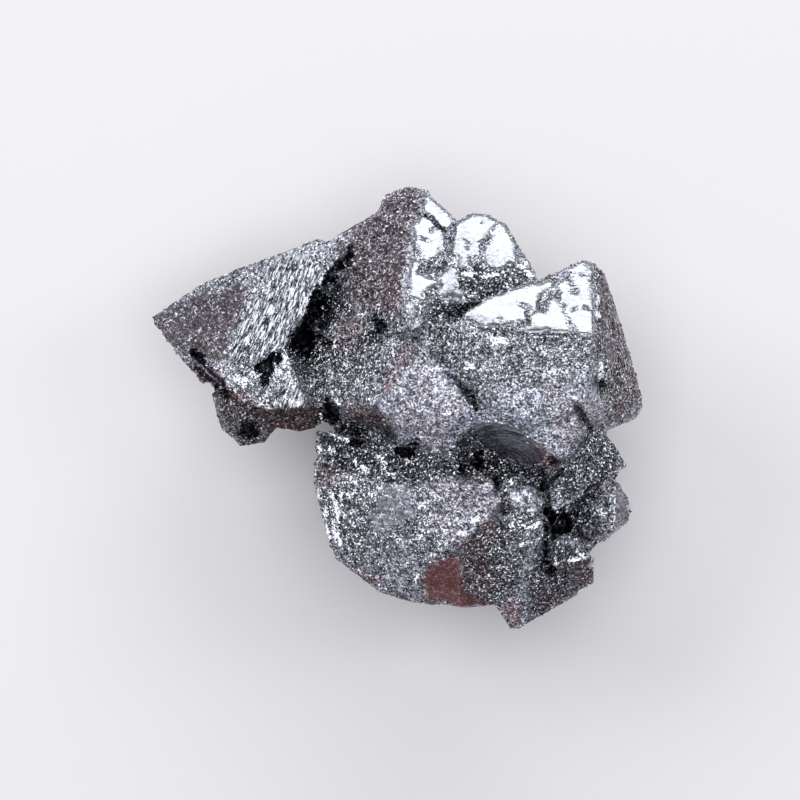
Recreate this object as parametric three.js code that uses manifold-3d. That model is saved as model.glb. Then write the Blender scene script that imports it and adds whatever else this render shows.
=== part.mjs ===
// A hematite pseudomorph after magnetite: one intergrown cluster of octahedral crystals, lying on
// the flat broken face where it came off its rock. Millimetres, +Z up, origin on that face, under
// the middle of the cluster's box.
import * as THREE from "three";
import { ConvexGeometry } from "three/addons/geometries/ConvexGeometry.js";
import { mergeVertices } from "three/addons/utils/BufferGeometryUtils.js";
import Module from "manifold-3d";

// Driving dimensions, in millimetres.
const clusterWidth = 45; // along X, from the tip of the left wing to the right block
const breakHeight = 0; // height, in the corner lists below, of the flat break that it rests on
const weldDistance = 1e-4; // corners closer than this are one corner

const hematite = { color: 0x55565e, roughness: 0.35, metalness: 0.9 };

// The crystals that face up. Each is the hull of its own corners, [x, y, z]. Together they are
// drawn 44.9 wide, and the finished cluster is brought to clusterWidth.
const crystals = {
  core: [
    [-2, 4, 0], [-1, -5, 0], [4, -7, 0], [9, -5, 0], [9, 2, 0], [4, 5, 0], [-4, 6, 4], [-4, -7, 4],
    [3, -10, 4], [12, -7, 4], [12.5, 3, 4], [5, 9, 4], [-5, 9, 11], [-6, -3, 12], [-4, -11.5, 12],
    [9, -15, 12.5], [15.5, -14, 11.5], [18, -8, 12], [18, -4, 12], [16, -3, 16], [13, 6, 16],
    [5, 12, 13.5], [8, -6, 17], [-2, -3, 16],
  ],
  heart: [
    [-4, 6, 14], [-0.5, 5.5, 19.5], [2, 4, 21.5], [3.2, 7.2, 21.2], [5, 6.3, 22.3], [8, 7.2, 21.8],
    [14.5, 9.2, 19], [16.2, 4, 22], [15.2, 0, 21.5], [9, -1.5, 21], [5, -3, 19.5], [0, -3, 18.8],
    [-3, -1, 17.6], [-5, 5, 8], [-4, -4, 8], [4, -8, 8], [15, -6, 8], [17, 2, 9], [12, 9.5, 9],
    [3, 11, 9],
  ],
  lowerHeart: [
    [-5.5, -4, 14], [-2, -9.5, 17.4], [3, -13.5, 17.5], [9, -14.5, 15.5], [12.6, -13.5, 15],
    [12.8, -9.5, 17.2], [12.4, -6.6, 16.8], [9, -6.4, 17.4], [5, -6.2, 17.6], [0, -4.8, 16.8],
    [17.5, -5.6, 14.2], [-4, -5, 8], [-2, -12, 8], [6, -15, 8], [13, -13, 8], [16, -6, 9],
  ],
  topHeart: [
    [-5, 12.5, 10.5], [0, 15.5, 12], [4.6, 15.4, 14.4], [9.5, 14.4, 15.5], [11, 10.4, 16.4],
    [2.8, 7.2, 21.2], [5.6, 8.2, 21.6], [-5.5, 9, 12.5], [-4, 9, 7], [3, 12, 7], [9, 10, 8],
  ],
  leftWing: [
    [-22.7, 7.7, 11.2], [-22.5, 6.8, 11.2], [-18.2, 10.8, 12], [-14.7, 12.2, 13.2], [-7.3, 14.8, 16],
    [-4.8, 13.8, 17], [-9.6, 6, 17.2], [-10.4, 4.7, 17.2], [-14.7, 0.2, 16.2], [-16.6, 2.1, 15.2],
    [-21.2, 5.4, 12], [-18.4, 5, 7.4], [-12.4, 2.4, 5.2], [-8, 4, 4.6], [-6, 10, 5.6], [-12, 9, 5.2],
  ],
  wingFringe: [
    [-22.3, 6.6, 10.4], [-20.9, 4.6, 10.6], [-19.8, 3.3, 10.8], [-18.4, 1.8, 11.2], [-16.9, 1.1, 11.8],
    [-15, 1.2, 13], [-17, 4, 12.6], [-20, 6, 11.4], [-17, 5, 7.2], [-13, 3, 6], [-15, 2, 8],
  ],
  leftWingFoot: [
    [-16.2, 1.6, 15.4], [-14, -0.5, 16.4], [-11.5, -1, 17.2], [-8.3, -0.6, 18.2], [-9.2, 2.3, 17.9],
    [-10.2, 4.6, 17.3], [-12.4, 2, 16.9], [-12, 0, 8], [-6, 2, 8], [-7, 5, 9], [-6, 0, 12],
  ],
  underWing: [
    [-13.6, -0.9, 15.5], [-8, -0.6, 16.5], [-7.6, -2.7, 14], [-9, -3, 13.5], [-10.8, -2.8, 13.5],
    [-12.5, -2.4, 13.8], [-13, -1, 9], [-8, 0, 8], [-8, -2, 9], [-5, -1, 12],
  ],
  lowerLump: [
    [-17.3, 0.6, 12.6], [-16.9, 1.5, 11.6], [-14.6, 1.8, 12.4], [-16.9, -1.1, 12.6], [-16.4, -2.8, 12],
    [-14.5, -4.4, 12], [-12.2, -4, 12.4], [-11, -2.7, 13], [-12, -1, 15], [-15.3, 0.2, 15],
    [-14.4, -2.2, 14.6], [-16, -1, 9], [-14, -3, 9], [-11, -1, 8], [-14, 1, 8],
  ],
  topRidge: [
    [1, 19.2, 14.6], [-2.5, 17.1, 13.4], [2.5, 18.8, 15.4], [0.3, 8, 22], [-7.2, 14.3, 11.5],
    [-4.2, 16.1, 12.3], [-8.6, 6.6, 13], [-6, 5.2, 17], [-3, 6.2, 19.8], [5.2, 9, 21.4],
    [5.2, 16.6, 16.6], [4.9, 17.2, 15], [3.4, 18.3, 15], [1, 6, 22], [-4, 12, 6], [3, 15, 7],
    [7, 8, 10],
  ],
  summit: [
    [-0.3, 19.3, 13.8], [0.8, 19.6, 14.2], [1.8, 19.4, 14.5], [2.9, 19.1, 14.9], [-1.7, 18.6, 13.4],
    [-2.5, 16.6, 14.2], [3.4, 17, 16.4], [0.8, 15, 17.7], [0, 16, 7], [2, 17, 7],
  ],
  ridgeFoot: [
    [1.2, 5.8, 22], [-8.2, 5, 12.8], [-6, 5, 16.2], [-3, 5.7, 18.8], [-2.3, -0.5, 20.6],
    [-5.2, -0.8, 17.6], [-7.8, 0, 15.6], [-6, -3, 13], [-2, -3, 15], [3, 2, 20], [-7, 4, 8], [0, 0, 8],
  ],
  topBump: [
    [5.2, 16.4, 17.7], [6.2, 17, 17.2], [8.1, 16.9, 17.2], [9.7, 16, 17.7], [12.5, 11.4, 19.9],
    [12.4, 11, 20.5], [11.6, 9.8, 21.2], [5.4, 8.4, 22], [4.4, 9.6, 21.3], [4.5, 12.3, 20],
    [3.5, 10, 18.5], [5, 14, 8], [9, 13, 9], [11, 10, 8],
  ],
  rightBlock: [
    [5.8, 7.9, 23.6], [8, 9.3, 22.7], [10.2, 10.2, 22.1], [13, 10.8, 21.8], [16.4, 12.7, 20.5],
    [17.4, 12.6, 20.3], [18.7, 11.4, 19.4], [17.2, 5.9, 25], [6, 6.6, 24.3], [3, 4.8, 22.8],
    [4.1, 3, 23.2], [6.6, 0.2, 23.6], [9, -1.3, 24], [12, -2.3, 24], [15.9, -0.8, 24.6],
    [16.6, 0.4, 25], [21.6, 2.6, 15.6], [22.2, 0.1, 14.8], [22.2, -0.7, 14.6], [21.6, -1.8, 14.4],
    [19, -2.9, 15.8], [9, 5, 11], [18, 7, 10], [18.5, 0, 10], [14, 9.5, 12], [11, -1, 12],
  ],
  underBlock: [
    [11.6, -3.4, 22.6], [13.1, -2.2, 23.4], [15.8, -1.2, 23.6], [16.9, -2.4, 22.4], [15.8, -4.6, 21.2],
    [14.3, -5.5, 20.9], [12.6, -4.4, 21.8], [12, -3, 14], [17, -3, 14], [15, -6, 14],
  ],
  hollowFace: [
    [6.5, -2, 22.3], [8, -1.5, 22.8], [10.2, -2.3, 22.9], [12, -3.8, 22], [13.7, -5.6, 20.3],
    [12.3, -7.1, 18.6], [5.6, -6.2, 18], [4.6, -4.9, 19.3], [7, -3, 13], [13, -6, 13],
  ],
  aboveHollow: [
    [6.6, 0, 23.1], [9.2, -0.9, 23.8], [12, -1.9, 23.9], [13, -2.6, 23.2], [12.4, -3.6, 22.4],
    [10.2, -2.5, 23], [6.4, -1.9, 22.5], [7, 0, 14], [12, -1, 14], [12, -4, 14], [8, -3, 14],
  ],
  frontPyramid: [
    [1.3, 5.4, 23.2], [3.2, 3.9, 23], [5.2, 1.8, 22.8], [6.9, -0.5, 23], [6.7, -2.4, 22.4],
    [4.9, -4.6, 20.8], [0, -4.1, 20.3], [-1, -1.6, 21.6], [-2.3, -0.5, 21.2], [-0.9, 1.6, 22.4],
    [1, -1, 23.3], [6, -1.4, 23.5], [0, 2, 14], [5, -3, 14],
  ],
  lowerMass: [
    [-7.9, -5.2, 14.8], [-1, -7.4, 19.1], [4, -6.9, 20.5], [8.6, -6.9, 20.8], [9.2, -8.6, 21.3],
    [8, -10.2, 21.5], [5.4, -12.6, 20.9], [2.7, -14.3, 19.9], [1.7, -16.5, 18.2], [1.2, -18.5, 15.8],
    [-2, -17.4, 15.4], [-3.6, -16.2, 15.2], [-5.9, -14.5, 14.6], [-6.7, -12.4, 14.8], [-7.4, -10, 15.2],
    [-8, -7.4, 15.4], [5.6, -18.9, 14.2], [8.6, -18.7, 14.6], [9, -17.3, 16], [8.3, -13.4, 19.5],
    [-5, -6, 5], [-3, -13, 5], [4, -15, 5], [8, -14, 5],
  ],
  upperBand: [
    [-7.7, -2.5, 16], [-5, -3, 17.6], [-1.6, -3.6, 19.2], [2.8, -4.4, 20.2], [5.2, -4.7, 20.1],
    [5.6, -5.8, 20.1], [5.2, -6.9, 19.4], [1.5, -7.3, 18.7], [-2, -6.8, 17.8], [-6.5, -5.8, 15.8],
    [-7.9, -4.6, 15.2], [-6, -4, 8], [0, -5, 9],
  ],
  lowerRight: [
    [8.6, -10.4, 20.7], [10.2, -9.8, 20.5], [13.3, -10.3, 19.5], [13.7, -11.6, 18.9],
    [13.4, -13.4, 18.3], [12.8, -15, 17.6], [11.6, -16.2, 17.2], [9.2, -16.8, 16.9], [8.3, -13.4, 19.5],
    [9, -11, 9], [13, -11, 9], [12, -15, 9],
  ],
  smallBright: [
    [9.7, -7.6, 19.9], [11.5, -7.7, 19.9], [13.2, -8.9, 19.9], [12.6, -10, 20.9], [10.8, -10.1, 21.2],
    [9.7, -9.2, 21.2], [10, -8, 15], [13, -10, 15],
  ],
  slab: [
    [13, -7.7, 19.8], [13.3, -5.9, 18.6], [14.9, -5.7, 19.5], [16.3, -3.8, 18.7], [17, -2.8, 18.2],
    [18.7, -3, 16.9], [19.5, -3.8, 16.6], [20.7, -5.9, 16.2], [19.7, -6.7, 16.3], [17.8, -7.9, 17.5],
    [15.3, -9.4, 18.7], [13.8, -10.1, 19.2], [13.3, -9.1, 19.6], [13, -7, 12], [18.6, -3.4, 11],
    [20.2, -5.8, 12], [17, -8, 12],
  ],
  sideCrystal: [
    [19.7, -6.9, 15], [20.1, -7.3, 14.6], [20.8, -8.5, 14.4], [21.2, -10, 14.2], [20.9, -11.1, 14],
    [19.4, -12.3, 14], [18.5, -13, 14.2], [19.5, -8.9, 17.2], [19.3, -12, 16.6], [17.2, -8.2, 16.6],
    [16.2, -9.6, 15.8], [15.8, -11.2, 15], [16.7, -12.4, 15], [15, -8, 8], [18, -10, 8], [16, -12, 9],
  ],
  underSide: [
    [14, -9.6, 13.4], [16, -8, 14], [20, -7.2, 12.6], [20.5, -10.6, 12.2], [18.5, -12.95, 13.2],
    [17.5, -13.7, 13.4], [15.2, -13, 14], [13.6, -12.4, 13.4], [14, -10, 8], [17, -9, 8.5],
    [17, -12.5, 8.5],
  ],
  smallLow: [
    [13.75, -12.4, 18.2], [15.6, -12.2, 17.6], [16.2, -12.6, 17.4], [17.3, -14.3, 16.6],
    [14.9, -15, 17.7], [13.9, -15, 18.1], [13.3, -14.3, 18.3], [17.8, -14.2, 15.6], [17.8, -16.6, 14],
    [17.2, -17, 13.4], [16.3, -17.4, 13.6], [13.5, -15.4, 15.4], [14, -13, 10], [16.5, -15, 10],
  ],
  underLow: [
    [13.2, -12.4, 13.8], [15.2, -12.6, 14.2], [17.5, -13.6, 13.4], [17.3, -14.6, 12.6],
    [17.2, -16.9, 12], [16.2, -17.5, 12], [13.4, -15.8, 13], [14, -12.5, 8], [15.5, -15, 8.5],
  ],
  tip: [
    [8.9, -16.4, 17], [8.4, -18.6, 15.2], [9.9, -20.8, 13.8], [10.8, -20.9, 13.8], [16.4, -17.7, 13.6],
    [16.1, -17.1, 15], [14.6, -15.9, 16.4], [12.9, -15.1, 17.5], [12.2, -16.4, 17.3],
    [11.3, -19.4, 15.3], [8.5, -16, 10], [14, -15, 10], [11, -18.5, 11],
  ],
};

// Whole octahedra on the flanks, the back and round the break: centre, distance from centre to
// corner, and turns about X, Y and Z in degrees.
const flankCrystals = [
  { at: [15, 3, 8], reach: 6.2, turn: [20, 15, 40] },
  { at: [14.5, -8, 7.5], reach: 5.9, turn: [35, 10, 15] },
  { at: [10, -13, 7.5], reach: 5.4, turn: [10, 30, 50] },
  { at: [2, -11.5, 7.5], reach: 6.4, turn: [25, 35, 10] },
  { at: [-2.6, -8, 7.5], reach: 5.2, turn: [40, 20, 60] },
  { at: [-3, -1, 7], reach: 5.6, turn: [30, 50, 20] },
  { at: [-4, 7, 7.5], reach: 6.8, turn: [15, 40, 25] },
  { at: [3, 10.5, 8], reach: 6.4, turn: [30, 25, 70] },
  { at: [9, 7.5, 8], reach: 6.6, turn: [50, 5, 30] },
  { at: [7.6, 11.6, 11], reach: 4.4, turn: [20, 40, 15] },
  { at: [-1.6, 13, 9.4], reach: 4.4, turn: [45, 10, 35] },
  { at: [-11.5, 5.4, 7.6], reach: 4.6, turn: [50, 15, 20] },
  { at: [-8.4, 1.4, 7.6], reach: 4.4, turn: [20, 50, 10] },
  { at: [16.6, -3.8, 9.4], reach: 3.8, turn: [15, 25, 35] },
  { at: [18.2, 0.5, 9.6], reach: 3.2, turn: [45, 35, 15] },
  { at: [17.2, 5.6, 10.6], reach: 3.4, turn: [10, 20, 65] },
  { at: [13.4, -14.6, 10], reach: 3.4, turn: [5, 45, 25] },
  { at: [-4.4, -11.4, 10.4], reach: 3.2, turn: [30, 15, 45] },
  { at: [6, -15, 9.6], reach: 3.3, turn: [50, 30, 65] },
  { at: [11, 3, 4], reach: 7.4, turn: [20, 35, 10] },
  { at: [11.5, -5, 3.8], reach: 7, turn: [40, 15, 55] },
  { at: [5.5, -8.5, 4], reach: 7, turn: [15, 40, 30] },
  { at: [-1.6, -5.5, 3.8], reach: 6.4, turn: [30, 20, 75] },
  { at: [-2.8, 2.5, 3.6], reach: 6.6, turn: [45, 30, 20] },
  { at: [3.2, 6.8, 4], reach: 6.8, turn: [25, 10, 50] },
];

const wasm = await Module();
wasm.setup();

function solidFrom(geometry) {
  geometry.deleteAttribute("normal");
  geometry.deleteAttribute("uv");
  const welded = mergeVertices(geometry, weldDistance);
  return new wasm.Manifold(new wasm.Mesh({
    numProp: 3,
    vertProperties: welded.attributes.position.array,
    triVerts: new Uint32Array(welded.index.array),
  }));
}

function hullCrystal(corners) {
  return solidFrom(new ConvexGeometry(corners.map((corner) => new THREE.Vector3(...corner))));
}

function octahedralCrystal({ at, reach, turn }) {
  const [aboutX, aboutY, aboutZ] = turn.map(THREE.MathUtils.degToRad);
  const octahedron = new THREE.OctahedronGeometry(reach);
  octahedron.rotateX(aboutX).rotateY(aboutY).rotateZ(aboutZ).translate(...at);
  return solidFrom(octahedron);
}

// The union can enclose small hollows between crystals. They are filled, because only the
// largest body, its outer skin, is kept.
function intergrown(solids) {
  const union = solids.reduce((all, next) => all.add(next)).trimByPlane([0, 0, 1], breakHeight);
  const bodies = union.decompose().sort((a, b) => b.volume() - a.volume());
  return bodies[0].getMesh();
}

// Brings the cluster to its width and puts the origin on the break, under the middle of its box.
function scaledAndCentred(geometry) {
  geometry.computeBoundingBox();
  const { min, max } = geometry.boundingBox;
  const scale = clusterWidth / (max.x - min.x);
  geometry.translate(-(min.x + max.x) / 2, -(min.y + max.y) / 2, -min.z);
  return geometry.scale(scale, scale, scale);
}

function clusterMesh() {
  const solids = [
    ...Object.values(crystals).map(hullCrystal),
    ...flankCrystals.map(octahedralCrystal),
  ];
  const skin = intergrown(solids);
  const geometry = new THREE.BufferGeometry()
    .setAttribute("position", new THREE.BufferAttribute(skin.vertProperties, 3))
    .setIndex(new THREE.BufferAttribute(skin.triVerts, 1));
  const mesh = new THREE.Mesh(scaledAndCentred(geometry), new THREE.MeshStandardMaterial(hematite));
  mesh.name = "hematite_cluster";
  return mesh;
}

const specimen = new THREE.Group();
specimen.add(clusterMesh());
export default specimen;
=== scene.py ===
import math
from functools import partial

import bpy
import numpy as np
from mathutils import Euler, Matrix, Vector, noise


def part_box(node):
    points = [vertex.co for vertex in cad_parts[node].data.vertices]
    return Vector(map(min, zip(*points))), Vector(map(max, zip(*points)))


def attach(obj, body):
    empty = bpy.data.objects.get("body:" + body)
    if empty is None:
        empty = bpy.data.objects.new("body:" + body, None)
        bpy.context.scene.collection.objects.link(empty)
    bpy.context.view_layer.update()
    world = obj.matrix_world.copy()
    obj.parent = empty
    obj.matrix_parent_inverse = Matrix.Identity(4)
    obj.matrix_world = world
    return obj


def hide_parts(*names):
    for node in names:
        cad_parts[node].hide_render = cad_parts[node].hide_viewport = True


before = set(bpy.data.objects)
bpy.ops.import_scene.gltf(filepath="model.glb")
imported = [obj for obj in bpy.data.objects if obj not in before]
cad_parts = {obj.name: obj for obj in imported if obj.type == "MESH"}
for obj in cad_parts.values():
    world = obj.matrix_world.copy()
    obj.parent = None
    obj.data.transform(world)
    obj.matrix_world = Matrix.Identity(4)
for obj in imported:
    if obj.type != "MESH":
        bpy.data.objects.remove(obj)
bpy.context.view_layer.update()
mm = 0.001

# the cluster lies on its broken back, so its crystals face a camera that looks straight down
low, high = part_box("hematite_cluster")
span = high - low


def linear(hexColour):
    parts = [int(hexColour[i:i + 2], 16) / 255 for i in (1, 3, 5)]
    return [p / 12.92 if p <= 0.04045 else ((p + 0.055) / 1.055) ** 2.4 for p in parts] + [1]


def addNode(tree, kind, sockets=None, **settings):  # a socket takes a value, a node or one output of a node
    node = tree.nodes.new(kind)
    for name, value in settings.items():
        setattr(node, name, value)
    for name, value in (sockets or {}).items():
        if isinstance(value, bpy.types.Node):
            value = next(output for output in value.outputs if output.enabled)
        if isinstance(value, bpy.types.NodeSocket):
            tree.links.new(value, node.inputs[name])
        else:
            node.inputs[name].default_value = value
    return node


# camera

camera = {
    "across": 0.506, "up": 0.517,  # what it looks at, as shares of the box
    "height": 538 * mm,
    "lens": 260, "sensor": 36,  # mm, so it sees 72 mm across at the crystals
    "near": 0.01, "far": 4,  # metres
}


def makeCamera():
    at = (low.x + camera["across"] * span.x, low.y + camera["up"] * span.y, camera["height"])
    bpy.ops.object.camera_add(location=at, rotation=(0, 0, 0))
    eye = bpy.context.object
    eye.name = "lookingDown"
    eye.data.lens = camera["lens"]
    eye.data.sensor_width = camera["sensor"]
    eye.data.clip_start = camera["near"]
    eye.data.clip_end = camera["far"]
    bpy.context.scene.camera = eye


makeCamera()

# crystal skin

skin = {
    "voxel": 0.178,  # mm
    "rounding": 4,  # smoothing passes, which wear the crystal edges round
    "filling": 260,  # passes that fill a gap between crystals, where the outlines below say "worn"
    "tipRounding": 14, "tips": (0.16, 0.36),  # passes, and from which bend on, in mm, they blunt a tip
    "margin": 0.1,  # mm kept free inside the box for the grains
    "triangles": 190000,  # about how many it keeps
    # the noises that fray every outline: size in mm, octaves and shift
    "broad": (6, 2, 11), "coarse": (1.8, 3, 0), "fine": (0.7, 3, 7), "speck": (0.3, 2, 3),
    "proud": 0.03,  # mm that the mirror plates stand above the etched faces
    "lumpSize": 2.4, "lumpDepth": 0.26,  # mm
    "grainSize": 0.6, "grainDepth": 0.13,
}

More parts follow.
